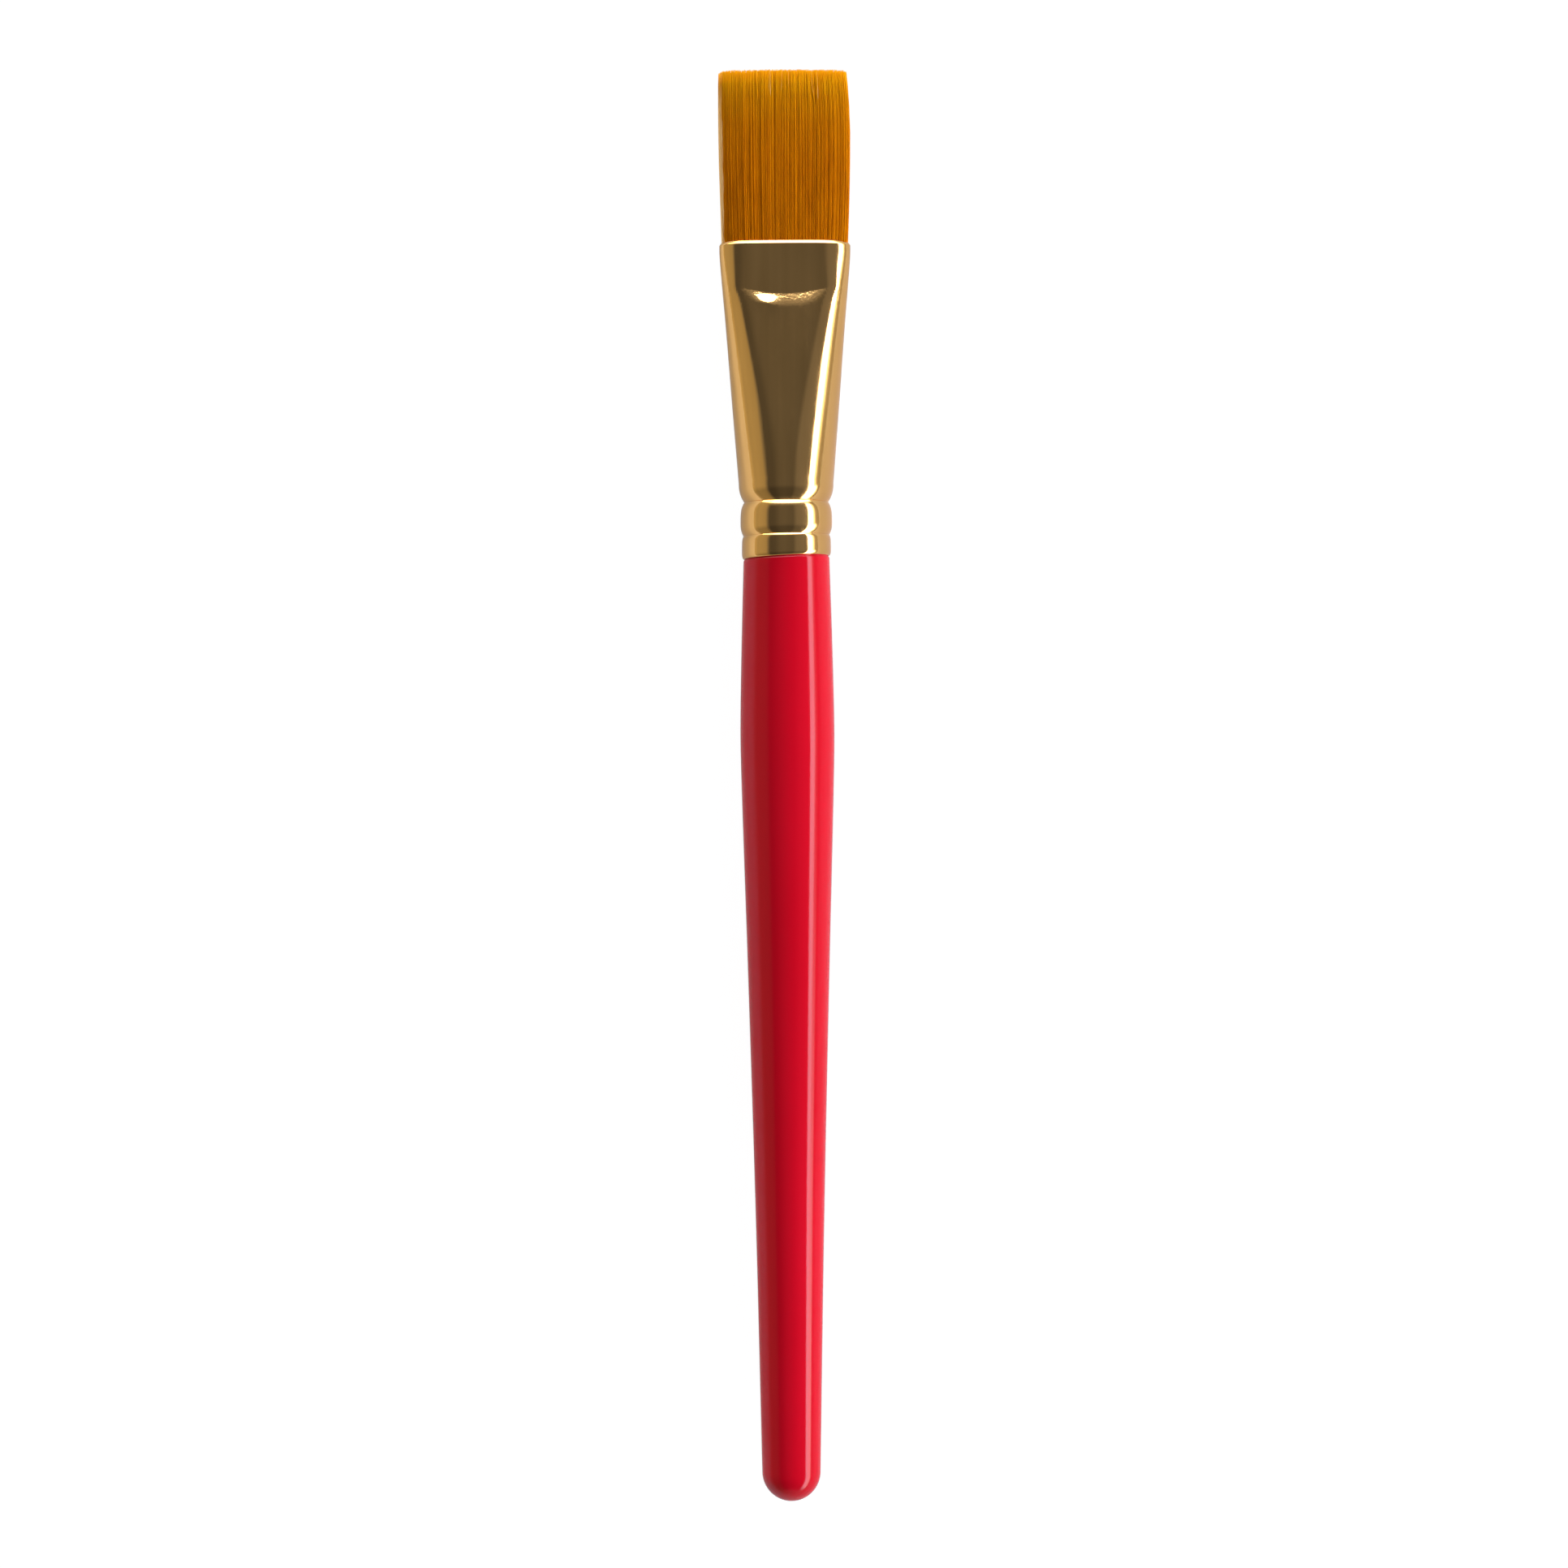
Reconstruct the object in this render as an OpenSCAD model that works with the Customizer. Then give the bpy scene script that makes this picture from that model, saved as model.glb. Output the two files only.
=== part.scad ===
// Flat wash paint brush, lying on a table with its flat faces level.
// X is the brush's width, +Y points to the bristle tips and +Z is up. The origin is on the
// table, under the middle of the brush's length. Every piece is drawn standing on the
// handle's butt, with Z along the brush and Y through its thickness, and then laid down.
// All lengths are in millimetres.

/* [Brush] */
// Whole length, from the handle's butt to the bristle tips
brush_length = 208; // [203:1:225]

/* [Handle] */
// Diameter of the handle at its round butt
butt_d = 8.5; // [7.5:0.1:9.5]
// Diameter of the handle at its belly
belly_d = 13.7; // [13:0.1:14.5]
// Distance from the butt to the belly
belly_at = 112; // [95:1:120]
// Diameter of the handle where it meets the ferrule
neck_d = 12.5; // [12.3:0.1:12.7]
// Thickness of the lacquer
lacquer_t = 0.15; // [0.1:0.01:0.25]

/* [Ferrule] */
// Distance from the butt to the ferrule's rear edge
ferrule_at = 137.2; // [130:0.1:140]
// Length of the ferrule
ferrule_length = 46; // [45:0.5:48]
// Diameter of the tube that the ferrule is pressed from
tube_d = 13.8; // [13.7:0.05:13.9]
// Thickness of the ferrule's metal
wall_t = 0.35; // [0.3:0.01:0.4]
// Width of the ferrule at its mouth
mouth_w = 19.1; // [18.6:0.1:19.4]
// Thickness of the ferrule at its mouth, outside
mouth_t = 5.9; // [5.7:0.1:6.2]
// Length of the stretch that is pressed parallel behind the mouth
pressed_length = 7.4; // [6.5:0.1:8.5]
// Height of the step behind the pressed stretch
step_rise = 0.75; // [0.6:0.05:0.9]

/* [Bristles] */
// Width of the tuft at its widest
tuft_w = 19.1; // [18.8:0.1:19.4]
// Thickness of the tuft at its widest
tuft_t = 5.2; // [5:0.1:5.4]
// Thickness of the tuft at its tips
tip_t = 3.4; // [2.8:0.1:3.8]
// Distance from the mouth to the axis that the tuft bends about
flex_out = 0.5; // [0.4:0.05:0.7]

/* [Hidden] */

// Places along the brush, measured from the butt
mouth_at = ferrule_at + ferrule_length;
pressed_at = mouth_at - pressed_length;
taper_at = ferrule_at + 10.8;   // where the ridges end and the tube starts to flatten
flex_at = mouth_at + flex_out;
tenon_end = taper_at + 10;
plug_at = taper_at + 15;
root_at = taper_at + 22.5;
plug_places = [for (k = [0:3]) plug_at + k * (root_at - plug_at) / 3];

// The ferrule's shoulder is the lowest round part, so it sets the height of the axis
axis_height = tube_d / 2;
tube_girth = PI * tube_d;

glue_t = 0.08;          // glue between the tenon and the ferrule
lacquer_gap = 0.1;      // gap between the lacquer's end and the ferrule's edge
fit = 0.03;             // keeps what fills the ferrule off its facets
handle_step = 2.5;      // spacing of the points along the handle
oval_points = 44;       // points around each section of the ferrule
knuckle_r = 2;          // the tuft's heel, round about the axis that it bends on
heel_gap = 0.4;         // gap between the roots and the heel
layer_t = 0.85;         // half the thickness of the tuft's core layer
edge_x = 7.6;           // the edge bunches lie outside this distance from the middle
edge_start = 2;         // the edge bunches start this far from the mouth, clear of its lip
reach = 60;             // larger than any section of the tuft

$fn = 96;

// Handle line: [share of the way from butt to belly, share of the rise in diameter]
swell = [[0.36, 0.28], [0.68, 0.64], [0.93, 0.95]];
// From belly to neck: [share of the way, share of the fall in diameter]
fall = [0.48, 0.38];

handle_line = concat(
    [[butt_d / 2, butt_d]],
    [for (p = swell) [belly_at * p[0], butt_d + (belly_d - butt_d) * p[1]]],
    [[belly_at, belly_d]],
    [[belly_at + (ferrule_at - belly_at) * fall[0], belly_d - (belly_d - neck_d) * fall[1]]],
    [[ferrule_at, neck_d]]
);

// Rear of the ferrule: two ridges end in the creases that are crimped into the tenon, and
// a shoulder leads to the taper. Each crease's diameter is at the ridge's far end.
rim_d = neck_d + 0.05;
ridge_1_length = 3.2;
ridge_1_rise = 0.22;
ridge_1_power = 5;    // how flat the ridge's crown is between its steep flanks
crease_1_d = neck_d - 0.05;
ridge_2_length = 4.85;
ridge_2_rise = 0.5;
ridge_2_power = 3.2;
crease_2_d = neck_d - 0.3;
shoulder_length = 2.75;
shoulder_power = 2.4;
crease_1_at = ferrule_at + ridge_1_length;
crease_2_at = crease_1_at + ridge_2_length;

// Width of the flattening part: [share of the way from the taper's start to the mouth, width]
width_line = [
    [0, tube_d], [0.31, tube_d + (mouth_w - tube_d) * 0.325],
    [0.65, tube_d + (mouth_w - tube_d) * 0.67], [0.88, mouth_w - 0.38],
    [0.965, mouth_w], [1, mouth_w - 0.05]
];

// Tuft outline: [distance from the mouth, share of the full width]
tuft_line = [
    [0, 0.963], [5.4, 0.983], [11.3, 0.997], [15.4, 1], [18.4, 0.997], [22, 0.981],
    [23.8, 0.962], [24.3, 0.945]
];
tip_corner = 0.5;       // the last stretch, where the cut tips round over

// ---- Curves and sections ----

function slope_at(line, i) =
    let (a = max(i - 1, 0), b = min(i + 1, len(line) - 1))
    (line[b][1] - line[a][1]) / (line[b][0] - line[a][0]);

function span_of(line, s, i = 0) =
    i >= len(line) - 2 || s < line[i + 1][0] ? i : span_of(line, s, i + 1);

// Smooth curve through the points of a line
function along(line, s) =
    let (
        i = span_of(line, s),
        h = line[i + 1][0] - line[i][0],
        u = min(max((s - line[i][0]) / h, 0), 1),
        p = line[i][1], q = line[i + 1][1],
        mp = slope_at(line, i) * h, mq = slope_at(line, i + 1) * h
    )
    p * (1 + 2 * u) * pow(1 - u, 2) + mp * u * pow(1 - u, 2)
    + q * u * u * (3 - 2 * u) - mq * u * u * (1 - u);

function handle_r(s) = along(handle_line, s) / 2;

// Outer radius of the ferrule's rear: u runs from 0 to 1 along a ridge or the shoulder
function ridge_r(u, from_d, to_d, rise, power) =
    (from_d + (to_d - from_d) * u) / 2 + rise * (1 - pow(abs(2 * u - 1), power));
function shoulder_r(u) = (tube_d - (tube_d - crease_2_d) * pow(1 - u, shoulder_power)) / 2;
function rib_r(s) =
    s < crease_1_at
    ? ridge_r(
        (s - ferrule_at) / ridge_1_length, rim_d, crease_1_d, ridge_1_rise, ridge_1_power
    )
    : s < crease_2_at
    ? ridge_r(
        (s - crease_1_at) / ridge_2_length, crease_1_d, crease_2_d, ridge_2_rise, ridge_2_power
    )
    : shoulder_r(min((s - crease_2_at) / shoulder_length, 1));
function closer_at_ends(u) = (1 - cos(180 * u)) / 2;
rib_places = concat(
    [for (k = [0:5]) ferrule_at + closer_at_ends(k / 6) * ridge_1_length],
    [for (k = [0:7]) crease_1_at + closer_at_ends(k / 8) * ridge_2_length],
    [for (k = [0:4]) crease_2_at + k * shoulder_length / 5]
);
function half_width(s) = along(width_line, (s - taper_at) / (mouth_at - taper_at)) / 2;

// Girth of an ellipse, and the half thickness that keeps the tube's girth at a half width
function girth(a, b) = PI * (3 * (a + b) - sqrt((3 * a + b) * (a + 3 * b)));
function half_thickness(a, low = 1, high = 8, rounds = 18) =
    let (b = (low + high) / 2)
    rounds == 0 ? b
    : girth(a, b) > tube_girth ? half_thickness(a, low, b, rounds - 1)
    : half_thickness(a, b, high, rounds - 1);

// Height of the pressing die above the middle plane: level over the pressed stretch, then the
// step, then a long slope that meets the oval near the tenon
step_length = 2.6;
step_at = pressed_at - step_length;
die_meets_at = taper_at + 12;
die_slope = (half_thickness(half_width(die_meets_at)) - mouth_t / 2 - step_rise)
    / (step_at - die_meets_at);
function die_height(s) =
    mouth_t / 2 + step_rise * min(max(pressed_at - s, 0) / step_length, 1)
    + max(step_at - s, 0) * die_slope;

// Section of the ferrule's tube at s, with its surface moved in by inset: round along the
// ribs, then an oval that the die cuts flat
function tube_section(s, inset = 0) =
    let (
        round_part = s < taper_at,
        a = round_part ? rib_r(s) : half_width(s),
        b = round_part ? a : half_thickness(a),
        top = die_height(s) - inset
    )
    [for (i = [0:oval_points - 1])
        let (t = 360 * (i + 0.5) / oval_points, y = (b - inset) * sin(t))
        [(a - inset) * cos(t), min(max(y, -top), top), s]];

// Section of the tuft at a distance from the mouth
function tuft_half_t(d) =
    d < flex_out ? knuckle_r
    : min(knuckle_r + (d - flex_out) * 0.12, tuft_t / 2)
      - max(0, d - 8) * (tuft_t - tip_t) / 2 / (brush_length - mouth_at - 8);
function tuft_section(d, shrink = 0) =
    let (w = along(tuft_line, d) * tuft_w / 2 - shrink, t = tuft_half_t(d) - shrink, n = 28)
    [for (i = [0:n - 1])
        let (v = 360 * (i + 0.5) / n, c = cos(v), q = sin(v))
        [w * sign(c) * pow(abs(c), 0.55), t * sign(q) * pow(abs(q), 0.55), mouth_at + d]];

// ---- Shared solids ----

module lay_down() {
    translate([0, -brush_length / 2, axis_height]) rotate([-90, 0, 0]) children();
}

// Solid through a list of rings that have the same number of points
module loft(rings) {
    n = len(rings[0]);
    last = len(rings) - 1;
    sides = [for (r = [0:last - 1], i = [0:n - 1])
        [r * n + i, (r + 1) * n + i, (r + 1) * n + (i + 1) % n, r * n + (i + 1) % n]];
    ends = [[for (i = [0:n - 1]) i], [for (i = [n - 1:-1:0]) last * n + i]];
    polyhedron([for (ring = rings) each ring], concat(sides, ends), convexity = 6);
}

// Tube between two lists of rings
module tube_loft(outer, inner) {
    n = len(outer[0]);
    last = len(outer) - 1;
    shift = n * len(outer);
    outside = [for (r = [0:last - 1], i = [0:n - 1])
        [r * n + i, (r + 1) * n + i, (r + 1) * n + (i + 1) % n, r * n + (i + 1) % n]];
    inside = [for (f = outside) [for (k = [3:-1:0]) f[k] + shift]];
    rims = [for (i = [0:n - 1]) let (j = (i + 1) % n) each [
        [i, j, j + shift, i + shift],
        [last * n + j, last * n + i, last * n + i + shift, last * n + j + shift]
    ]];
    polyhedron([for (ring = concat(outer, inner)) each ring],
        concat(outside, inside, rims), convexity = 8);
}

// Butt arc and handle line as [radius, place] points, moved in by inset
function butt_arc(inset) =
    let (r = butt_d / 2)
    [for (t = [-90:7.5:-7.5]) [(r - inset) * cos(t), r + (r - inset) * sin(t)]];
function handle_side(inset, end) =
    [for (s = [butt_d / 2:handle_step:end]) [handle_r(s) - inset, s]];
function rib_side(inset) =
    [for (s = concat(rib_places, [taper_at])) [rib_r(s) - inset, s]];

// ---- Handle ----

// Turned hardwood with a tenon that fills the ferrule's ribs and tapers into its wedge
module handle_core() {
    neck = ferrule_at - lacquer_gap;
    tenon_in = wall_t + glue_t;
    color("burlywood") lay_down() rotate_extrude() polygon(concat(
        butt_arc(lacquer_t),
        handle_side(lacquer_t, neck - 0.5),
        [[handle_r(neck) - lacquer_t, neck], [rib_r(ferrule_at) - tenon_in, neck]],
        rib_side(tenon_in),
        [[tube_d / 2 - tenon_in - 1.1, tenon_end - 0.6],
         [tube_d / 2 - tenon_in - 1.7, tenon_end], [0, tenon_end]]
    ));
}

// Red lacquer over the whole handle, up to the ferrule's edge
module lacquer_coat() {
    end = ferrule_at - lacquer_gap;
    outer = concat(butt_arc(0), handle_side(0, end - 0.5), [[handle_r(end), end]]);
    inner = concat(
        butt_arc(lacquer_t),
        handle_side(lacquer_t, end - 0.5),
        [[handle_r(end) - lacquer_t, end]]
    );
    back = [for (i = [len(inner) - 1:-1:0]) inner[i]];
    color("crimson") lay_down() rotate_extrude() polygon(concat(outer, back));
}

// ---- Ferrule and what fills it ----

// Film of glue between the tenon and the ribbed rear of the ferrule
module tenon_glue() {
    film = rib_side(wall_t + glue_t);
    face = [for (i = [len(film) - 1:-1:0]) film[i] + [glue_t - fit, 0]];
    color("khaki") lay_down() rotate_extrude() polygon(concat(film, face));
}

// One metal tube: ribbed and round at the rear, flattened to the mouth, with the stretch
// behind the mouth pressed parallel and a crescent step where the die stopped
module ferrule() {
    places = concat(
        rib_places,
        [for (k = [0:3]) taper_at + k * (die_meets_at - taper_at) / 4],
        [die_meets_at],
        plug_places,
        [for (k = [0:2]) step_at + k * step_length / 2],
        [for (k = [1:4]) pressed_at + k * pressed_length / 4]
    );
    color("goldenrod") lay_down() tube_loft(
        [for (s = places) tube_section(s)],
        [for (s = places) tube_section(s, wall_t)]
    );
}

// Cured resin that locks the bristle roots in the ferrule
module epoxy_plug() {
    color("wheat") lay_down() loft([for (s = plug_places) tube_section(s, wall_t + fit)]);
}

// Root ends of the filaments, packed into the ferrule's mouth
module tuft_root() {
    end = flex_at - knuckle_r - heel_gap;
    places = concat(
        [root_at],
        [for (k = [0:2]) step_at + k * step_length / 2],
        [for (k = [1:2]) pressed_at + k * (end - pressed_at) / 2]
    );
    color("sienna") lay_down() loft([for (s = places) tube_section(s, wall_t + fit)]);
}

// ---- Bristles that bend ----

// Outer form of the tuft outside the ferrule, with square-cut tips that are softly rounded
module tuft_form() {
    tips = brush_length - mouth_at;
    places = [flex_out, 2, 4, 8, 12, 16, 19, 21.8, tips - tip_corner];
    loft(concat(
        [for (d = places) tuft_section(d)],
        [[for (p = tuft_section(tips - 0.1, tip_corner / 2)) [p[0], p[1], brush_length]]]
    ));
}

// Part of the tuft inside a box given by its low and high corners across the brush, and
// by how far from the mouth it starts
module tuft_part(low, high, start = 0) {
    intersection() {
        tuft_form();
        translate([low[0], low[1], mouth_at + start])
            cube([high[0] - low[0], high[1] - low[1], reach]);
    }
}

// Middle filaments, with a heel that is round about the axis the tuft bends on
module tuft_core() {
    color("darkorange") lay_down() {
        tuft_part([-edge_x, -layer_t], [edge_x, layer_t]);
        translate([-edge_x, 0, flex_at]) rotate([0, 90, 0]) cylinder(h = 2 * edge_x, r = layer_t);
    }
}

// Filaments of the upper face as the brush lies
module tuft_top_layer() {
    color("orange") lay_down() tuft_part([-edge_x, -reach], [edge_x, -layer_t]);
}

// Filaments of the lower face as the brush lies
module tuft_bottom_layer() {
    color("orange") lay_down() tuft_part([-edge_x, layer_t], [edge_x, reach]);
}

// Filaments of the two edges
module tuft_left_edge() {
    color("peru") lay_down() tuft_part([-reach, -reach], [-edge_x, reach], edge_start);
}

module tuft_right_edge() {
    color("peru") lay_down() tuft_part([edge_x, -reach], [reach, reach], edge_start);
}

handle_core();
lacquer_coat();
tenon_glue();
ferrule();
epoxy_plug();
tuft_root();
tuft_core();
tuft_top_layer();
tuft_bottom_layer();
tuft_left_edge();
tuft_right_edge();
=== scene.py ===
import math

import bpy
import numpy as np
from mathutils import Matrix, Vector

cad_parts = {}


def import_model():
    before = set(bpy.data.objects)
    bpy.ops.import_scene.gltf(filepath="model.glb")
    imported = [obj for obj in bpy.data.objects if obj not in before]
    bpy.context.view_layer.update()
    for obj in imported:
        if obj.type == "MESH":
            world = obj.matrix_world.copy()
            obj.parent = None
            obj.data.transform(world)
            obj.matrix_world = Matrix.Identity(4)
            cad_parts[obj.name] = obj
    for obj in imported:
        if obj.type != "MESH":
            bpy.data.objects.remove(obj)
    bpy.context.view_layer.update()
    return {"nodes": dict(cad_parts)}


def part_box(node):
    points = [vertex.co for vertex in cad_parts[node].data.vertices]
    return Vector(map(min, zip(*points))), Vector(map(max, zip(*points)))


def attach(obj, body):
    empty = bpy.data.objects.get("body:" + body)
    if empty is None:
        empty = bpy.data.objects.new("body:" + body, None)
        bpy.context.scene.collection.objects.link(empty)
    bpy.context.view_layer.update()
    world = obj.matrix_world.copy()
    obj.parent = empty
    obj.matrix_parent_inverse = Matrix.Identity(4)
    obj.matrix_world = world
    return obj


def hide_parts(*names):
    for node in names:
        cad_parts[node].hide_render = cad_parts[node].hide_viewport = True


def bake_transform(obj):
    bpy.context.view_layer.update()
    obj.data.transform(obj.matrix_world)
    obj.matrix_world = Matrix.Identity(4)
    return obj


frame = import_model()

MM = 0.001
SAME_PLACE = 1e-6             # how closely two places along the brush are compared
rng = np.random.default_rng(7)

# ---- Places, all read from the frame ----

ferrule_low, ferrule_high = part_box("ferrule")
core_low, core_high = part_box("tuft_core")

AXIS_Z = (ferrule_low.z + ferrule_high.z) / 2
TUBE_R = (ferrule_high.z - ferrule_low.z) / 2
RIM_Y, MOUTH_Y = ferrule_low.y, ferrule_high.y
BUTT_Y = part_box("lacquer_coat")[0].y
TIP_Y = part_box("tuft_top_layer")[1].y
FERRULE_LENGTH = MOUTH_Y - RIM_Y
TUFT_LENGTH = TIP_Y - MOUTH_Y
TUFT_HALF_W = (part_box("tuft_right_edge")[1].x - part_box("tuft_left_edge")[0].x) / 2

# Thickness of the two shells, as in the CAD part
LACQUER_T = 0.15 * MM
WALL_T = 0.35 * MM


def cad_rings(node):
    """The node's vertices in rings across the brush: place along Y, widest x, radius and count."""
    points = np.array([v.co for v in frame["nodes"][node].data.vertices])
    points = np.unique(points.round(8), axis=0)
    places = points[:, 1].round(6)
    rows = []
    for y in np.unique(places):
        ring = points[places == y]
        radius = np.hypot(ring[:, 0], ring[:, 2] - AXIS_Z)
        rows.append((y, np.abs(ring[:, 0]).max(), radius.max(), len(ring)))
    return np.array(rows)


def smooth_curve(xs, ys, at):
    """Cubic curve through the points, with each slope taken from its two neighbours."""
    xs, ys, at = (np.asarray(v, float) for v in (xs, ys, at))
    slope = np.gradient(ys, xs)
    i = np.clip(np.searchsorted(xs, at, "right") - 1, 0, len(xs) - 2)
    h = xs[i + 1] - xs[i]
    u = np.clip((at - xs[i]) / h, 0, 1)
    rise = ys[i] * (1 + 2 * u) * (1 - u) ** 2 + ys[i + 1] * u * u * (3 - 2 * u)
    return rise + h * slope[i] * u * (1 - u) ** 2 - h * slope[i + 1] * u * u * (1 - u)


def smoothstep(low, high, value):
    u = np.clip((value - low) / (high - low), 0, 1)
    return u * u * (3 - 2 * u)


# ---- Meshes ----


def mesh_object(name, points, faces):
    mesh = bpy.data.meshes.new(name)
    mesh.from_pydata([tuple(p) for p in points], [], faces)
    mesh.validate()
    mesh.polygons.foreach_set("use_smooth", [True] * len(mesh.polygons))
    mesh.update()
    obj = bpy.data.objects.new(name, mesh)
    bpy.context.scene.collection.objects.link(obj)
    return obj


def ring_faces(rings, around, closed=False):
    """Quads between neighbouring rings of points; closed joins the last ring to the first."""
    faces = []
    for r in range(rings if closed else rings - 1):
        a, b = r * around, ((r + 1) % rings) * around
        for i in range(around):
            j = (i + 1) % around
            faces.append((a + i, a + j, b + j, b + i))
    return faces


def paint(obj, material):
    obj.data.materials.clear()
    obj.data.materials.append(material)


def dress(obj, material, body, node):
    """Material, body and CAD node of a visual piece. A blended piece has no body here."""
    paint(obj, material)
    if body:
        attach(obj, body)
    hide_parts(node)


# ---- Materials ----


def grey(stops):
    """Ramp stops for plain values instead of colours."""
    return [(where, (value,) * 3) for where, value in stops]


class Nodes:
    """Short calls for building one material's nodes, or the world's."""

    def __init__(self, name, world=False):
        self.owner = (bpy.data.worlds if world else bpy.data.materials).new(name)
        self.owner.use_nodes = True
        self.tree = self.owner.node_tree
        self.shader = self.tree.nodes["Background" if world else "Principled BSDF"]

    def set(self, **values):
        for name, value in values.items():
            self.shader.inputs[name.replace("_", " ")].default_value = value

    def link(self, source, node, socket):
        self.tree.links.new(source, node.inputs[socket])

    def feed(self, socket, value):
        """Another node's output into the socket, or a constant."""
        if isinstance(value, bpy.types.NodeSocket):
            self.tree.links.new(value, socket)
        else:
            socket.default_value = value

    def node(self, kind, **inputs):
        made = self.tree.nodes.new(kind)
        for name, value in inputs.items():
            self.feed(made.inputs[name.replace("_", " ")], value)
        return made

    def axes(self, coordinates):
        coords = self.node("ShaderNodeTexCoord").outputs[coordinates]
        return self.node("ShaderNodeSeparateXYZ", Vector=coords).outputs

    def noise(self, scale, detail):
        """Noise in object coordinates, scaled along X, Y and Z."""
        coords = self.node("ShaderNodeTexCoord").outputs["Object"]
        place = self.node("ShaderNodeMapping", Vector=coords, Scale=scale).outputs["Vector"]
        made = self.node("ShaderNodeTexNoise", Vector=place, Scale=1, Detail=detail)
        return made.outputs["Fac"]

    def attribute(self, name):
        made = self.node("ShaderNodeAttribute")
        made.attribute_name = name
        return made.outputs["Fac"]

    def math(self, operation, *values):
        made = self.node("ShaderNodeMath")
        made.operation = operation
        for socket, value in zip(made.inputs, values):
            self.feed(socket, value)
        return made.outputs[0]

    def spread(self, value, low, high, to_low, to_high):
        """The value moved from low..high to to_low..to_high, and held at both ends."""
        made = self.node(
            "ShaderNodeMapRange", Value=value,
            From_Min=low, From_Max=high, To_Min=to_low, To_Max=to_high,
        )
        return made.outputs["Result"]

    def ramp(self, value, stops):
        made = self.node("ShaderNodeValToRGB", Fac=value)
        points = made.color_ramp.elements
        while len(points) < len(stops):
            points.new(0.5)
        for point, (where, colour) in zip(points, stops):
            point.position = where
            point.color = (*colour, 1)
        return made.outputs["Color"]

    def half_turn(self, angle):
        """The angle from -90 to 90 degrees as a share from 0 to 1."""
        return self.spread(angle, -math.pi / 2, math.pi / 2, 0, 1)

    def profile(self, angle, stops, top=1):
        """A value by angle in radians: stops are (degrees, value), with values up to top."""
        levels = grey([((degrees + 90) / 180, value / top) for degrees, value in stops])
        return self.math("MULTIPLY", self.ramp(self.half_turn(angle), levels), top)

    def mix_colours(self, share, first, second):
        made = self.node("ShaderNodeMix")
        made.data_type = "RGBA"
        factor, a, b = made.inputs[0], made.inputs[6], made.inputs[7]
        for socket, value in ((factor, share), (a, first), (b, second)):
            self.feed(socket, value)
        return made.outputs[2]

    def mix_shaders(self, share, first, second, output):
        """Both shaders by share, into the material's or the world's output."""
        made = self.node("ShaderNodeMixShader", Fac=share)
        self.link(first.outputs[0], made, 1)
        self.link(second.outputs[0], made, 2)
        self.link(made.outputs[0], self.tree.nodes[output], "Surface")

    def bump(self, height, strength, distance):
        made = self.node("ShaderNodeBump", Height=height, Strength=strength, Distance=distance)
        self.link(made.outputs["Normal"], self.shader, "Normal")
        return made


def lacquer_material():
    m = Nodes("red_lacquer")
    m.set(IOR=1.3)
    flow = m.noise((90, 18, 90), detail=2)
    depth = m.ramp(flow, [(0.3, (0.50, 0.0005, 0.010)), (0.7, (0.55, 0.002, 0.014))])
    m.link(depth, m.shader, "Base Color")
    haze = m.noise((500, 120, 500), detail=4)
    m.link(m.spread(haze, 0.3, 0.75, 0.08, 0.12), m.shader, "Roughness")
    peel = m.noise((300, 60, 300), detail=1)
    m.bump(peel, strength=0.005, distance=0.02 * MM)
    return m.owner


def ferrule_material():
    m = Nodes("pale_gold_metal")
    m.set(Metallic=1.0)
    tarnish = m.noise((160, 60, 160), detail=4)
    bands = m.noise((520, 9, 200), detail=2)
    tint = m.math("ADD", m.math("MULTIPLY", tarnish, 0.4), m.math("MULTIPLY", bands, 0.6))
    gold = m.ramp(tint, [(0.3, (0.80, 0.455, 0.145)), (0.7, (0.94, 0.545, 0.185))])
    m.link(gold, m.shader, "Base Color")
    # Fine lines along the ferrule, left by drawing the tube, and worn in patches
    lines = m.noise((5200, 70, 5200), detail=3)
    smear = m.noise((260, 120, 260), detail=3)
    wear = m.math("MULTIPLY", lines, smear)
    m.link(m.spread(wear, 0.1, 0.45, 0.06, 0.15), m.shader, "Roughness")
    # The press leaves its step faintly pebbled
    y = m.axes("Object")["Y"]
    step_y = MOUTH_Y - 7.4 * MM
    from_behind = m.spread(y, step_y - 4 * MM, step_y - 0.5 * MM, 0, 1)
    to_the_flat = m.spread(y, step_y + 0.2 * MM, step_y + 0.8 * MM, 1, 0)
    pressed = m.math("MULTIPLY", from_behind, to_the_flat)
    pebble = m.math("MULTIPLY", m.noise((2600, 2000, 2600), detail=2), pressed)
    pebbles = m.node("ShaderNodeBump", Height=pebble, Strength=0.9, Distance=0.025 * MM)
    drawn = m.bump(lines, strength=0.12, distance=0.01 * MM)
    m.link(pebbles.outputs["Normal"], drawn, "Normal")
    return m.owner


def wood_material():
    m = Nodes("turned_hardwood")
    m.set(Roughness=0.55)
    grain = m.noise((900, 16, 900), detail=5)
    colour = m.ramp(grain, [(0.3, (0.42, 0.24, 0.11)), (0.7, (0.68, 0.46, 0.26))])
    m.link(colour, m.shader, "Base Color")
    m.bump(grain, strength=0.3, distance=0.05 * MM)
    return m.owner


def glue_material(name, low, high, roughness):
    m = Nodes(name)
    m.set(Roughness=roughness)
    cloud = m.noise((400, 400, 400), detail=3)
    m.link(m.ramp(cloud, [(0.3, low), (0.7, high)]), m.shader, "Base Color")
    return m.owner


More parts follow.
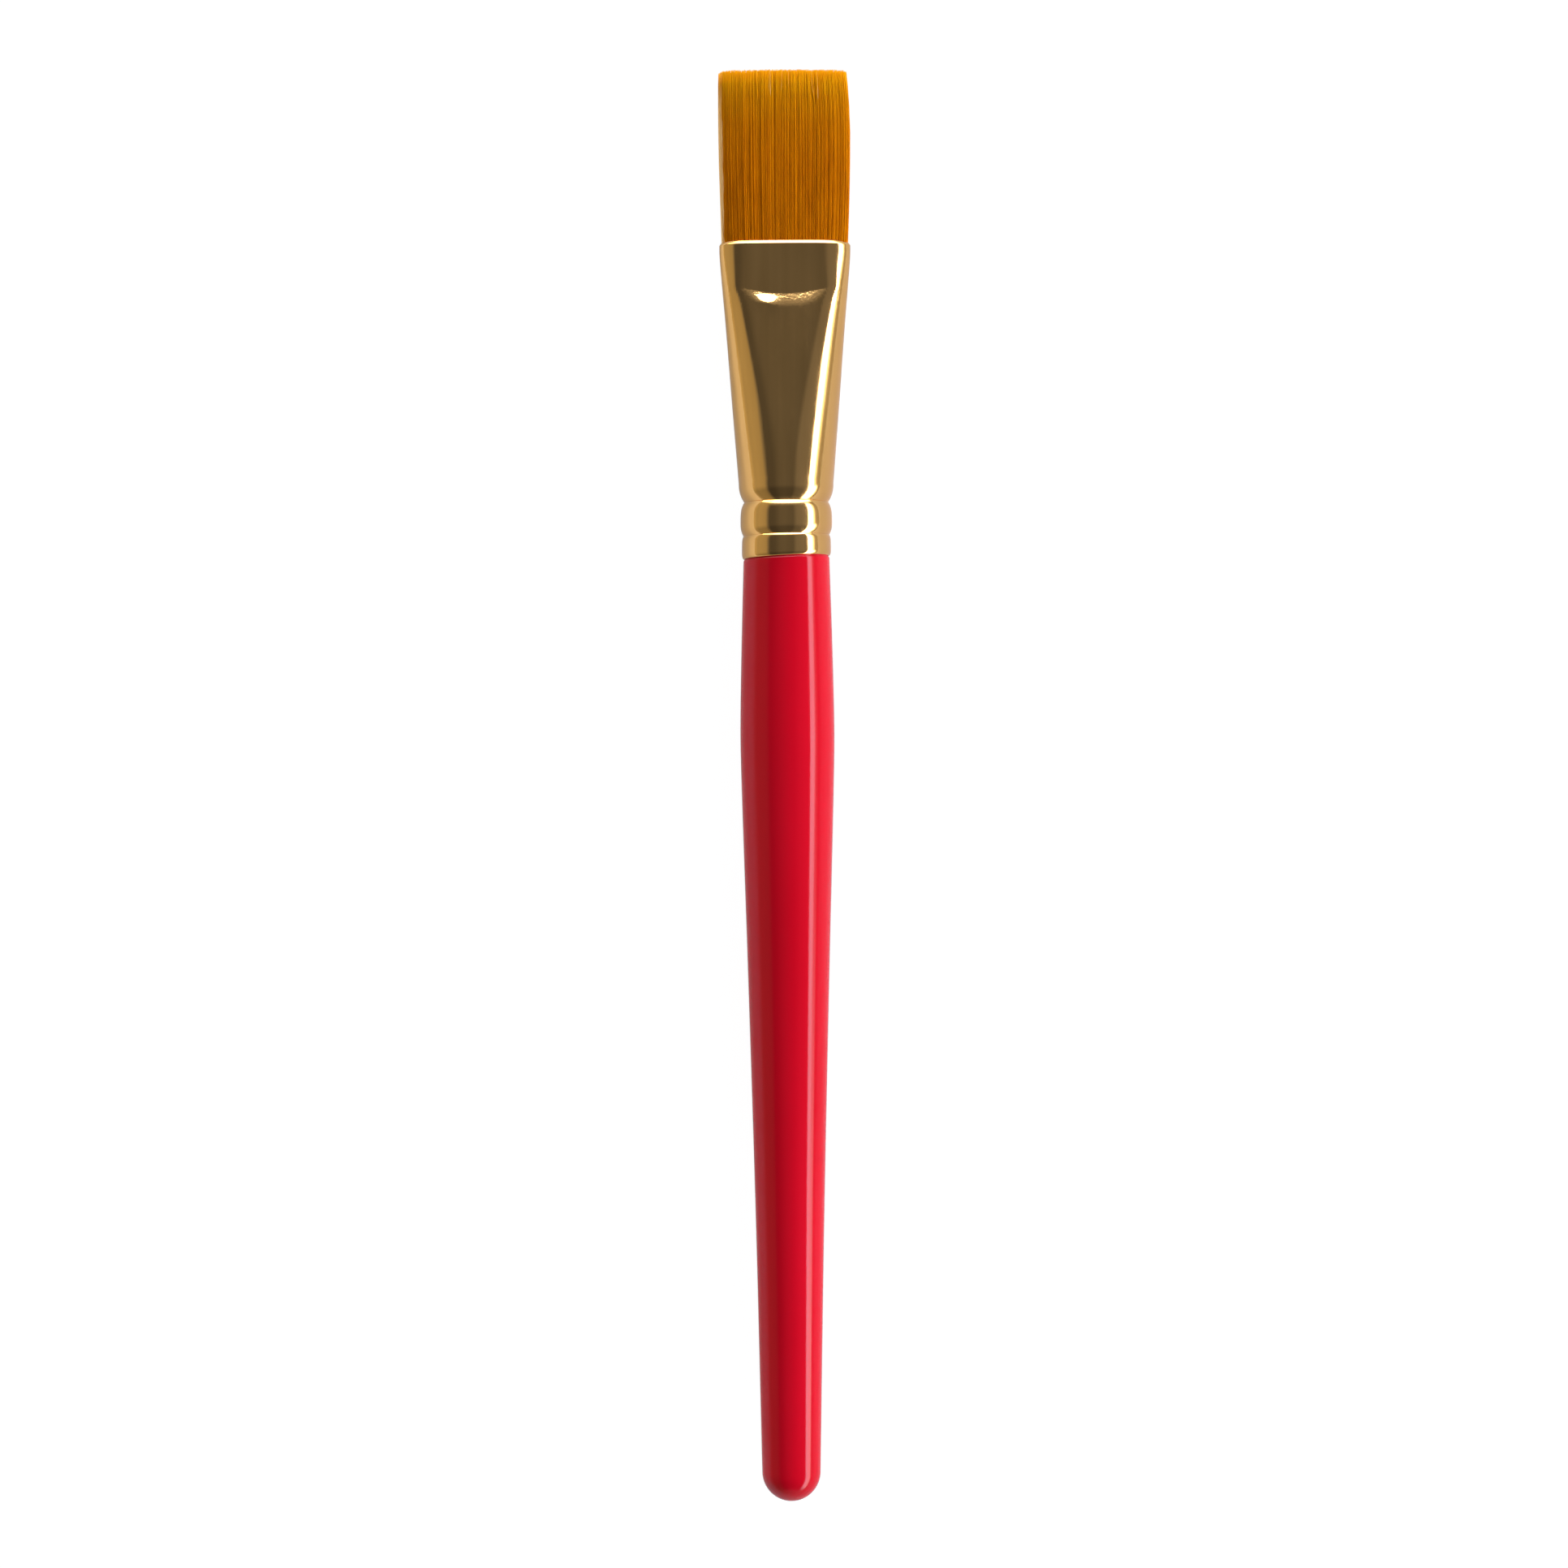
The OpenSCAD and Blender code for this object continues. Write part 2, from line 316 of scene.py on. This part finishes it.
def filament_material():
    m = Nodes("golden_filament")
    m.set(Roughness=0.6, IOR=1.3, Specular_IOR_Level=0.04)
    smudge = m.noise((2400, 230, 2400), detail=2)
    cloud = m.noise((420, 120, 420), detail=2)
    tone = m.math("ADD", m.attribute("strand_shade"), m.spread(smudge, 0.3, 0.7, -0.16, 0.16))
    tone = m.math("ADD", tone, m.spread(cloud, 0.3, 0.7, -0.12, 0.12))
    # Dark, middle and light filaments, and the pale ones among the strays and at the edges; at the
    # edges the paleness is painted light coming through the outermost filaments
    body = m.ramp(tone, [
        (0.0, (0.40, 0.108, 0.0)), (0.4, (0.51, 0.147, 0.0)), (0.8, (0.63, 0.202, 0.0)),
        (1.0, (1.0, 0.66, 0.28)),
    ])
    # They turn yellower and paler towards the tips: the yellower hue is their own colour, and the
    # paleness is partly painted light that comes through the thin tips
    tip_share = m.ramp(
        m.attribute("strand_along"), grey([(0.5, 0.0), (0.72, 0.1), (0.86, 0.36), (0.94, 0.85)])
    )
    colour = m.mix_colours(tip_share, body, (0.93, 0.43, 0.003, 1))
    m.link(colour, m.shader, "Base Color")
    return m.owner


# ---- Handle ----

SHELL_AROUND = 160            # points around the handle
SHELL_END = 0.35 * MM         # before the rim, where the dip starts


def lacquered_handle():
    """The lacquer as one closed shell: the outer surface, then the inner one back again."""
    rows = cad_rings("lacquer_coat")
    y, r = rows[:, 0], rows[:, 2]
    # The butt is half a ball, which ends where the handle's radius is its distance from the end
    past = y > BUTT_Y + 1 * MM
    butt_r = r[past][np.argmin(np.abs(r[past] - (y[past] - BUTT_Y)))]
    side = y >= BUTT_Y + butt_r - SAME_PLACE
    places = np.linspace(BUTT_Y + butt_r, RIM_Y - SHELL_END, 150)
    side_r = smooth_curve(y[side], r[side], places)
    turn = np.radians(np.linspace(-88, -4, 22))
    butt = [(butt_r * math.cos(t), BUTT_Y + butt_r + butt_r * math.sin(t)) for t in turn]
    # The lacquer dips where it meets the ferrule, and ends just inside it: depth, place in mm
    neck = [(0.02, -0.26), (0.08, -0.17), (0.13, -0.08), (0.14, 0.0), (0.14, 1.2)]
    neck = [(side_r[-1] - dip * MM, RIM_Y + along * MM) for dip, along in neck]
    outer = butt + list(zip(side_r, places)) + neck
    inner = [(max(p - LACQUER_T, 0.1 * MM), max(q, BUTT_Y + LACQUER_T)) for p, q in outer]
    line = np.array(outer + inner[::-1])
    angle = np.arange(SHELL_AROUND) * 2 * math.pi / SHELL_AROUND
    points = []
    for p, q in line:
        x = p * np.cos(angle)
        points += list(zip(x, q + slant_of(x, q), AXIS_Z + p * np.sin(angle)))
    faces = ring_faces(len(line), SHELL_AROUND)
    # Both surfaces close to a point at the butt
    outer_end, inner_end = len(points), len(points) + 1
    points += [(0, BUTT_Y, AXIS_Z), (0, BUTT_Y + LACQUER_T, AXIS_Z)]
    last = (len(line) - 1) * SHELL_AROUND
    for i in range(SHELL_AROUND):
        j = (i + 1) % SHELL_AROUND
        faces.append((i, outer_end, j))
        faces.append((last + j, inner_end, last + i))
    return mesh_object("lacquered_handle", points, [f[::-1] for f in faces])


# ---- Ferrule ----

TUBE_AROUND = 220             # points around the ferrule

# Distances along the ferrule from its rear rim
CREASE_1 = 3.2 * MM
CREASE_2 = 8.05 * MM
TAPER = 10.8 * MM
DIE_MEETS = TAPER + 12 * MM   # where the die's long slope meets the tube's oval
PRESSED = FERRULE_LENGTH - 7.8 * MM   # where the pressed flat ends, in its middle

# How square the ridges and the shoulder are: 2 is round
RIDGE_1_POWER = 5
RIDGE_2_POWER = 3.2
SHOULDER_POWER = 2.4

# The step behind the pressed flat. It starts and it eases between two distances behind the flat
STEP_LENGTH = 2.6 * MM
STEP_RISE = 0.75 * MM
STEP_STEEP = 1.13             # its steepest slope, over its mean one
STEP_STARTS = (-0.15 * MM, 0.3 * MM)
STEP_EASES = (0.6 * MM, 3.1 * MM)
STEP_ROUND = 0.8 * MM         # rounding between the die's face and the oval

# The flat's edge is a shallow curve: it reaches SMILE further back in its middle
SMILE = 0.85 * MM
SMILE_HALF_W = 6 * MM
SMILE_FADE = 2.5 * MM

# The step is a little steeper at one place to the left of the middle
DENT = 0.22 * MM
DENT_X = 2.8 * MM
DENT_HALF_W = 1.2 * MM
DENT_STARTS = (0.3 * MM, 1.9 * MM)
DENT_ENDS = (1.8 * MM, 4.2 * MM)

SLANT = math.tan(math.radians(2.4))   # of the rear rim
SLANT_FADE = 3.5 * MM


def girth(a, b):
    """Ramanujan's formula for the length around an ellipse."""
    return math.pi * (3 * (a + b) - np.sqrt((3 * a + b) * (a + 3 * b)))


def half_thickness(a):
    """The oval's half thickness that keeps the round tube's girth at half width a."""
    low, high = np.full_like(a, 1 * MM), np.full_like(a, 8 * MM)
    for _ in range(30):
        middle = (low + high) / 2
        wide = girth(a, middle) > 2 * math.pi * TUBE_R
        high, low = np.where(wide, middle, high), np.where(wide, low, middle)
    return (low + high) / 2


def half_width_function():
    """A function of the distance from the rim: the tube's half width, from the CAD part."""
    rows = cad_rings("ferrule")
    place = rows[:, 0] - RIM_Y
    wide = rows[:, 1] / math.cos(2 * math.pi / rows[1, 3])
    rim, crease_1, crease_2 = np.interp([0, CREASE_1, CREASE_2], place, wide)
    crown_1 = wide[place < CREASE_1].max() - (rim + crease_1) / 2
    crown_2 = wide[(place > CREASE_1) & (place < CREASE_2)].max() - (crease_1 + crease_2) / 2
    shoulder = np.interp(TAPER, place, wide)
    taper = place > TAPER - SAME_PLACE

    def half_width(d):
        u1 = np.clip(d / CREASE_1, 0, 1)
        u2 = np.clip((d - CREASE_1) / (CREASE_2 - CREASE_1), 0, 1)
        u3 = np.clip((d - CREASE_2) / (TAPER - CREASE_2), 0, 1)
        ridge_1 = rim + (crease_1 - rim) * u1
        ridge_1 += crown_1 * (1 - np.abs(2 * u1 - 1) ** RIDGE_1_POWER)
        ridge_2 = crease_1 + (crease_2 - crease_1) * u2
        ridge_2 += crown_2 * (1 - np.abs(2 * u2 - 1) ** RIDGE_2_POWER)
        rear = shoulder - (shoulder - crease_2) * (1 - u3) ** SHOULDER_POWER
        front = smooth_curve(place[taper], wide[taper], d)
        return np.select([d < CREASE_1, d < CREASE_2, d < TAPER], [ridge_1, ridge_2, rear], front)

    return half_width


def soft_min(a, b, blend):
    """The smaller of a and b, rounded where they are less than blend apart."""
    return np.minimum(a, b) - np.maximum(blend - np.abs(a - b), 0) ** 2 / (4 * blend)


def slant_of(x, y):
    """The rim sits a little askew; the slant fades along the ferrule and the handle."""
    return x * SLANT * np.exp(-np.abs(y - RIM_Y) / SLANT_FADE)


def ferrule():
    half_width = half_width_function()
    flat = max(
        abs(v.co.z - AXIS_Z)
        for v in frame["nodes"]["ferrule"].data.vertices
        if v.co.y > MOUTH_Y - 1 * MM
    )

    # Height of the die over the flat, by the distance behind the flat's edge
    past = np.linspace(-1 * MM, 36 * MM, 1500)
    meets = half_width(np.array([DIE_MEETS]))
    drop = half_thickness(meets)[0] - flat - STEP_RISE
    long_slope = drop / (PRESSED - STEP_LENGTH - DIE_MEETS)
    step_slope = STEP_STEEP * STEP_RISE / STEP_LENGTH
    slopes = step_slope * smoothstep(*STEP_STARTS, past)
    slopes += (long_slope - step_slope) * smoothstep(*STEP_EASES, past)
    heights = np.cumsum(slopes) * (past[1] - past[0])

    def section(d, inset, angle):
        """One ring of the tube at distance d from the rim: x, distance and height."""
        a = half_width(np.full_like(angle, d))
        smile = SMILE * np.minimum(np.abs(a * np.cos(angle)) / SMILE_HALF_W, 1) ** 2
        d = d + smile * math.exp(-(((d - PRESSED) / SMILE_FADE) ** 2))
        a = half_width(d)
        b = np.where(d > TAPER, half_thickness(a), a)
        x = (a - inset) * np.cos(angle)
        z = (b - inset) * np.abs(np.sin(angle))
        back = PRESSED + smile - d
        dent = np.exp(-(((x + DENT_X) / DENT_HALF_W) ** 2)) * DENT
        dent = dent * smoothstep(*DENT_STARTS, back)
        dent = dent * (1 - smoothstep(*DENT_ENDS, back))
        die = flat + np.interp(back, past, heights) + dent
        z = soft_min(z, die - inset, STEP_ROUND)
        return x, d, z * np.sign(np.sin(angle))

    def stretch(start, end, count, crowded=True):
        """Places from start to just before end, closer together at both ends if crowded."""
        u = np.arange(count) / count
        return start + (end - start) * ((1 - np.cos(math.pi * u)) / 2 if crowded else u)

    # Each is a distance behind the mouth and an inset, in mm
    rolled_lip = [
        (0.66, 0.0), (0.62, 0.006), (0.56, 0.03), (0.49, 0.075), (0.37, 0.165), (0.25, 0.262),
        (0.15, 0.345), (0.09, 0.41), (0.045, 0.465), (0.015, 0.53), (0.0, 0.61), (0.01, 0.68),
        (0.08, 0.74), (0.25, 0.76), (0.8, 0.6), (1.6, 0.38),
    ]
    # The rings are closest together at the step
    step_from, step_to = PRESSED - 3.2 * MM, PRESSED + 0.2 * MM
    lip_from = FERRULE_LENGTH - rolled_lip[0][0] * MM
    ribs = np.concatenate([
        stretch(0.12 * MM, CREASE_1, 36), stretch(CREASE_1, CREASE_2, 48),
        stretch(CREASE_2, TAPER, 28),
    ])
    body = np.concatenate([
        stretch(TAPER, step_from, 64, crowded=False),
        stretch(step_from, step_to, 46, crowded=False),
        stretch(step_to, lip_from, 26, crowded=False),
    ])
    # A closed line: the rounded rear rim, the outside, the lip, and the inside back again
    path = [(0.0, 0.10), (0.03, 0.03)]
    path += [(d / MM, 0.0) for d in np.concatenate([ribs, body])]
    path += [(FERRULE_LENGTH / MM - back, inset) for back, inset in rolled_lip]
    inside = np.concatenate([np.linspace(FERRULE_LENGTH - 2.4 * MM, TAPER, 20), ribs[::-3]])
    path += [(d / MM, WALL_T / MM) for d in inside]
    path.append((0.0, 0.3))
    angle = (np.arange(TUBE_AROUND) + 0.5) * 2 * math.pi / TUBE_AROUND
    points = []
    for d, inset in path:
        x, d, z = section(d * MM, inset * MM, angle)
        y = RIM_Y + d
        points += list(zip(x, y + slant_of(x, y), AXIS_Z + z))
    faces = [f[::-1] for f in ring_faces(len(path), TUBE_AROUND, closed=True)]
    return mesh_object("ferrule_tube", points, faces)


# ---- Filaments ----

HEEL = 2.6 * MM               # how far inside the mouth the filaments start
HEEL_HALF_W = 9.12 * MM
HEEL_HALF_T = 2.32 * MM
HEEL_POWERS = (2.4, 3.2)      # the heel's outline is a squared oval: powers across and up
TIP_HALF_T = 1.75 * MM
SWELL = 0.25 * MM             # how much thicker the tuft is a third of the way out
FILAMENT_R = 0.07 * MM
TIP_TAPER = 0.55              # share of the radius that a filament loses towards its tip
SPACING = 0.138 * MM          # between filaments at the heel
CORE_HALF_T = (core_high.z - core_low.z) / 2
EDGE_X = core_high.x

# The cut: its mean distance short of the CAD tuft, its unevenness, and the short ones
CUT_BACK = 0.16 * MM
CUT_ROUGH = 0.09 * MM
CUT_WAVE = 0.04 * MM
CUT_LIMITS = (-0.3 * MM, 0.14 * MM)
CORNER_SHORT = 0.2 * MM
ODD_SHORT = 0.3 * MM

# How far the filaments stray from their even places at the tips
CLUMP_X, CLUMP_Z = 0.02 * MM, 0.04 * MM
WAVE = 0.018 * MM
ASTRAY = 0.022 * MM
STRAYS = 7                    # pale ones that lie on top near the tips
STRAY_LIFT = 0.12 * MM
STRAY_LEAN = 0.3 * MM

# Points along a filament, as shares of its length: closest together where the tuft bends
STEPS = np.array([0, 0.09, 0.14, 0.19, 0.24, 0.30, 0.37, 0.52, 0.68, 0.82, 0.93, 1.0])

# Half width along the tuft as a share of its widest, left and right, by share of its length
SHARE = [0.0, 0.22, 0.45, 0.62, 0.76, 0.88, 0.96, 1.0]
LEFT = [0.958, 0.975, 0.990, 0.997, 1.0, 1.0, 0.997, 0.990]
RIGHT = [0.958, 0.980, 0.996, 1.0, 0.992, 0.976, 0.958, 0.948]


def lumps(u, v, seed, count, scale):
    """A smooth random wave over the tuft's section, about -1 to 1."""
    own = np.random.default_rng(seed)
    total = np.zeros_like(u)
    for _ in range(count):
        fu, fv = own.normal(0, scale), own.normal(0, scale * 0.3)
        total += np.sin(fu * u + fv * v + own.uniform(0, 6.28))
    return total / math.sqrt(count)


def filament_starts():
    """Places of the filaments in the mouth, as shares of its half width and half thickness."""
    power_x, power_z = HEEL_POWERS
    rows = int(2 * HEEL_HALF_T / (SPACING * math.sqrt(3) / 2)) + 1
    starts = []
    for k in range(rows):
        v = -1 + (k + 0.5) * 2 / rows
        wide = HEEL_HALF_W * (1 - abs(v) ** power_z) ** (1 / power_x)
        count = max(int(2 * wide / SPACING), 1)
        # Every other row is moved half a place, so that the rows nest
        shift = 0.25 if k % 2 else -0.25
        for i in range(count):
            x = -wide + (i + 0.5 + shift) * 2 * wide / count
            starts.append((x / HEEL_HALF_W, v))
    starts = np.array(starts)
    return starts + rng.normal(0, [0.003, 0.012], starts.shape)


def filaments():
    """Centre lines, radii and shades of all filaments: arrays of filament by point."""
    starts = filament_starts()
    u, v = starts[:, :1], starts[:, 1:]
    n = len(starts)

    # Length, with the corners and a few odd filaments cut shorter
    rough_cut = rng.normal(0, CUT_ROUGH, (n, 1)) + CUT_WAVE * lumps(u, v, seed=3, count=6, scale=14)
    corner = smoothstep(0.95, 1.0, np.abs(u)) * np.where(u < 0, 1, 0.5)
    short = CORNER_SHORT * corner + ODD_SHORT * rng.random((n, 1)) ** 8
    reach = TUFT_LENGTH + HEEL - CUT_BACK + np.clip(rough_cut, *CUT_LIMITS) - short
    y = MOUTH_Y - HEEL + STEPS * reach
    out = np.clip((y - MOUTH_Y) / TUFT_LENGTH, 0, 1)

    # The tuft's width and thickness at each point
    left = smooth_curve(SHARE, LEFT, out) * TUFT_HALF_W
    right = smooth_curve(SHARE, RIGHT, out) * TUFT_HALF_W
    free = smoothstep(MOUTH_Y - HEEL, MOUTH_Y + 1.2 * MM, y)
    wide = HEEL_HALF_W * (1 - free) + np.where(u < 0, left, right) * free
    swell = SWELL * np.sin(np.pi * np.clip(out * 1.5, 0, 1))
    thick = HEEL_HALF_T * (1 - out) + TIP_HALF_T * out + swell

    # Clumps, a slight wave, and each filament's own way
    clump_x = CLUMP_X * lumps(u, v, seed=11, count=6, scale=60) * out ** 1.5
    clump_z = CLUMP_Z * lumps(u, v, seed=12, count=6, scale=30) * out
    wave = WAVE * np.sin(out * 9 + rng.uniform(0, 6.28, (n, 1))) * out
    own_x = rng.normal(0, ASTRAY, (n, 1)) * out ** 1.3
    own_z = rng.normal(0, ASTRAY, (n, 1)) * out
    x = u * wide + clump_x + wave + own_x
    z = v * thick + clump_z + own_z
    taper = 1 - TIP_TAPER * smoothstep(0.7, 1.0, STEPS)
    radius = FILAMENT_R * taper * rng.uniform(0.85, 1.1, (n, 1))

    shade = 0.4 + 0.06 * lumps(u, v, seed=21, count=8, scale=110)
    shade = shade + 0.05 * lumps(u, v, seed=22, count=6, scale=30)
    shade = np.clip(shade + rng.normal(0, 0.06, (n, 1)), 0, 0.75)
    # Painted light: the outermost filaments are paler, most of all on the left, for the light that
    # comes through them
    shade = shade + 0.95 * smoothstep(0.9, 1.0, -u) + 0.25 * smoothstep(0.85, 1.0, u)
    shade = np.repeat(shade, len(STEPS), axis=1)

    upper = np.flatnonzero((v[:, 0] > 0.9) & (np.abs(u[:, 0]) < 0.85))
    late = smoothstep(0.76, 0.93, STEPS)
    for k in rng.choice(upper, STRAYS, replace=False):
        shade[k] += (1 - shade[k]) * late
        z[k] += STRAY_LIFT * late
        x[k] += rng.normal(0, STRAY_LEAN) * late
    lines = np.stack([x, y, AXIS_Z + z], axis=2)
    return lines, radius, shade, starts


def strands(name, lines, radius, shade, steps, sides):
    """One mesh of tapered tubes, each closed at both ends."""
    lines, radius, shade = lines[:, steps], radius[:, steps], shade[:, steps]
    n, rings = radius.shape
    turn = np.arange(sides) * 2 * math.pi / sides
    ring = np.stack([np.cos(turn), np.zeros(sides), np.sin(turn)], axis=1)
    points = lines[:, :, None, :] + radius[:, :, None, None] * ring[None, None]
    tube = np.array([f[::-1] for f in ring_faces(rings, sides)])
    start = np.arange(sides)[None]
    end = (rings - 1) * sides + np.arange(sides)[None, ::-1]
    offset = (np.arange(n) * rings * sides)[:, None, None]
    quads = (tube[None] + offset).reshape(-1, 4)
    caps = np.concatenate([start[None] + offset, end[None] + offset]).reshape(-1, sides)
    faces = [tuple(f) for f in quads.tolist()] + [tuple(f) for f in caps.tolist()]
    obj = mesh_object(name, points.reshape(-1, 3), faces)
    along = np.broadcast_to(STEPS[steps][None, :, None], (n, rings, sides))
    tone = np.broadcast_to(shade[:, :, None], (n, rings, sides))
    for key, values in (("strand_along", along), ("strand_shade", tone)):
        made = obj.data.attributes.new(key, "FLOAT", "POINT")
        made.data.foreach_set("value", values.astype(np.float32).ravel())
    return obj


def tuft():
    lines, radius, shade, starts = filaments()
    x = starts[:, 0] * HEEL_HALF_W
    z = starts[:, 1] * HEEL_HALF_T
    left, right = x < -EDGE_X, x > EDGE_X
    inner = ~left & ~right
    groups = {
        "tuft_left_edge": left,
        "tuft_right_edge": right,
        "tuft_core": inner & (np.abs(z) <= CORE_HALF_T),
        "tuft_top_layer": inner & (z > CORE_HALF_T),
        "tuft_bottom_layer": inner & (z < -CORE_HALF_T),
    }
    material = filament_material()
    every = list(range(len(STEPS)))
    for node, own in groups.items():
        # The core is hidden, so its filaments have 4 sides and every other point. They end at
        # the last but one, a little short of the others
        steps, sides = (every[::2], 4) if node == "tuft_core" else (every, 6)
        obj = strands(node + "_filaments", lines[own], radius[own], shade[own], steps, sides)
        dress(obj, material, None, node)
        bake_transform(obj)


# ---- Camera, floor and light ----


def camera():
    """Straight down on the brush, as the photograph looks, with its small turn."""
    height = 0.5
    picture_width = 0.2282
    cam = bpy.data.objects.new("camera", bpy.data.cameras.new("camera"))
    cam.data.sensor_width = 36
    cam.data.lens = cam.data.sensor_width * height / picture_width
    cam.data.clip_start = 0.01
    cam.data.clip_end = 20
    middle = (BUTT_Y + TIP_Y) / 2
    cam.location = (-0.54 * MM, middle + 0.27 * MM, AXIS_Z + height)
    cam.rotation_euler = (0, 0, math.radians(-0.31))
    bpy.context.scene.collection.objects.link(cam)
    bpy.context.scene.camera = cam


def floor():
    half = 2.5
    corners = [(-half, -half, 0), (half, -half, 0), (half, half, 0), (-half, half, 0)]
    plane = mesh_object("floor", corners, [(0, 1, 2, 3)])
    m = Nodes("pale_floor")
    m.set(Base_Color=(0.6, 0.6, 0.6, 1), Roughness=0.9, Specular_IOR_Level=0.1)
    # Painted light: the floor's left half glows a little, standing in for a window's light, and the
    # brush mirrors it along its edge
    m.set(Emission_Color=(1, 1, 1, 1))
    glow = m.spread(m.axes("Object")["X"], -20 * MM, 10 * MM, 0.15, 0.0)
    m.link(glow, m.shader, "Emission Strength")
    # The camera sees it as almost even white, with a trace of the brush's shadow
    white = m.node("ShaderNodeEmission", Color=(1, 1, 1, 1), Strength=1.07)
    seen = m.node("ShaderNodeLightPath").outputs["Is Camera Ray"]
    m.mix_shaders(m.math("MULTIPLY", seen, 0.9), m.shader, white, "Material Output")
    plane.data.materials.append(m.owner)


def world():
    """Studio light by direction: a dark ceiling, a bright strip on the right, paler sides.

    The angle across is 0 straight up and 90 to the right, and the angle along is 90 towards
    the tips.
    """
    w = Nodes("studio", world=True)
    bpy.context.scene.world = w.owner
    axes = w.axes("Generated")
    across = w.math("ARCTAN2", axes["X"], axes["Z"])
    along = w.math("ARCSINE", axes["Y"])

    # Left wall, ceiling and right wall, darker towards the handle's end
    walls = [
        (-90, 0.66), (-80, 0.46), (-70, 0.48), (-54, 0.42), (-48, 0.22), (-44, 0.09),
        (-30, 0.095), (-17, 0.13), (-5, 0.14), (8, 0.125), (18, 0.12), (26, 0.20),
        (57, 0.22), (63, 0.5), (78, 0.42), (90, 0.46),
    ]
    shade = w.profile(along, [(-62, 1), (-50, 0.65), (-22, 0.65), (-8, 1)])
    room = w.math("MULTIPLY", w.profile(across, walls), shade)

    # The strip on the right comes closer, so wider, towards the handle's end
    strip_top = 16
    far = [(57, 0), (59, 9), (69, 9), (73, 2.2), (79, 0.7), (84, 0)]
    near = [(57, 0), (59, 9), (78, 9), (82, 2.2), (86, 0)]
    close = w.profile(along, [(-12, 1), (-2, 0)])
    wide = w.math("MULTIPLY", w.profile(across, near, strip_top), close)
    strip = w.math("MAXIMUM", w.profile(across, far, strip_top), wide)
    reach = w.profile(along, [(-62, 0.1), (-45, 1), (28, 1), (45, 0.1)])
    strip = w.math("MULTIPLY", strip, reach)

    # The window at the tips' end shows in the metal more than it lights the dull surfaces
    window = [
        (-90, 0.6), (-66, 0.5), (-60, 0), (24, 0), (34, 0.18), (38, 0.32), (45, 0.40),
        (49, 7), (90, 7),
    ]
    path = w.node("ShaderNodeLightPath").outputs
    dull = w.spread(path["Is Diffuse Ray"], 0, 1, 1, 0.45)
    ends = w.math("MULTIPLY", w.profile(along, window, 8), dull)
    level = w.math("MAXIMUM", w.math("MAXIMUM", room, strip), ends)
    w.link(level, w.shader, "Strength")

    # Warm from the left, cool from above
    tints = [
        (0.2, (1.0, 0.93, 0.68)), (0.26, (1.0, 1.04, 1.18)), (0.8, (1.0, 1.04, 1.18)),
        (0.84, (1.0, 1.0, 1.2)), (0.94, (1.0, 0.98, 0.9)),
    ]
    w.link(w.ramp(w.half_turn(across), tints), w.shader, "Color")
    white = w.node("ShaderNodeBackground", Color=(1, 1, 1, 1), Strength=1)
    w.mix_shaders(path["Is Camera Ray"], w.shader, white, "World Output")


def fill_light():
    """Even light from above that the polished surfaces don't mirror."""
    light = bpy.data.objects.new("fill", bpy.data.lights.new("fill", "SUN"))
    light.data.energy = 0.15
    light.data.angle = math.radians(60)
    light.data.color = (1.0, 0.98, 0.95)
    light.location = (0, 0, 1)
    light.rotation_euler = (0, math.radians(-12), 0)
    light.visible_glossy = False
    bpy.context.scene.collection.objects.link(light)


# ---- Build ----

camera()
world()
floor()
fill_light()

dress(lacquered_handle(), lacquer_material(), "handle", "lacquer_coat")
dress(ferrule(), ferrule_material(), "handle", "ferrule")
tuft()

inner_looks = {
    "handle_core": wood_material(),
    "tenon_glue": glue_material("cured_glue", (0.60, 0.50, 0.28), (0.75, 0.66, 0.42), 0.5),
    "epoxy_plug": glue_material("cured_resin", (0.52, 0.30, 0.08), (0.68, 0.44, 0.16), 0.2),
    "tuft_root": glue_material("packed_roots", (0.25, 0.09, 0.01), (0.45, 0.18, 0.02), 0.6),
}
for node, material in inner_looks.items():
    paint(frame["nodes"][node], material)

bpy.context.scene.view_settings.view_transform = "Standard"
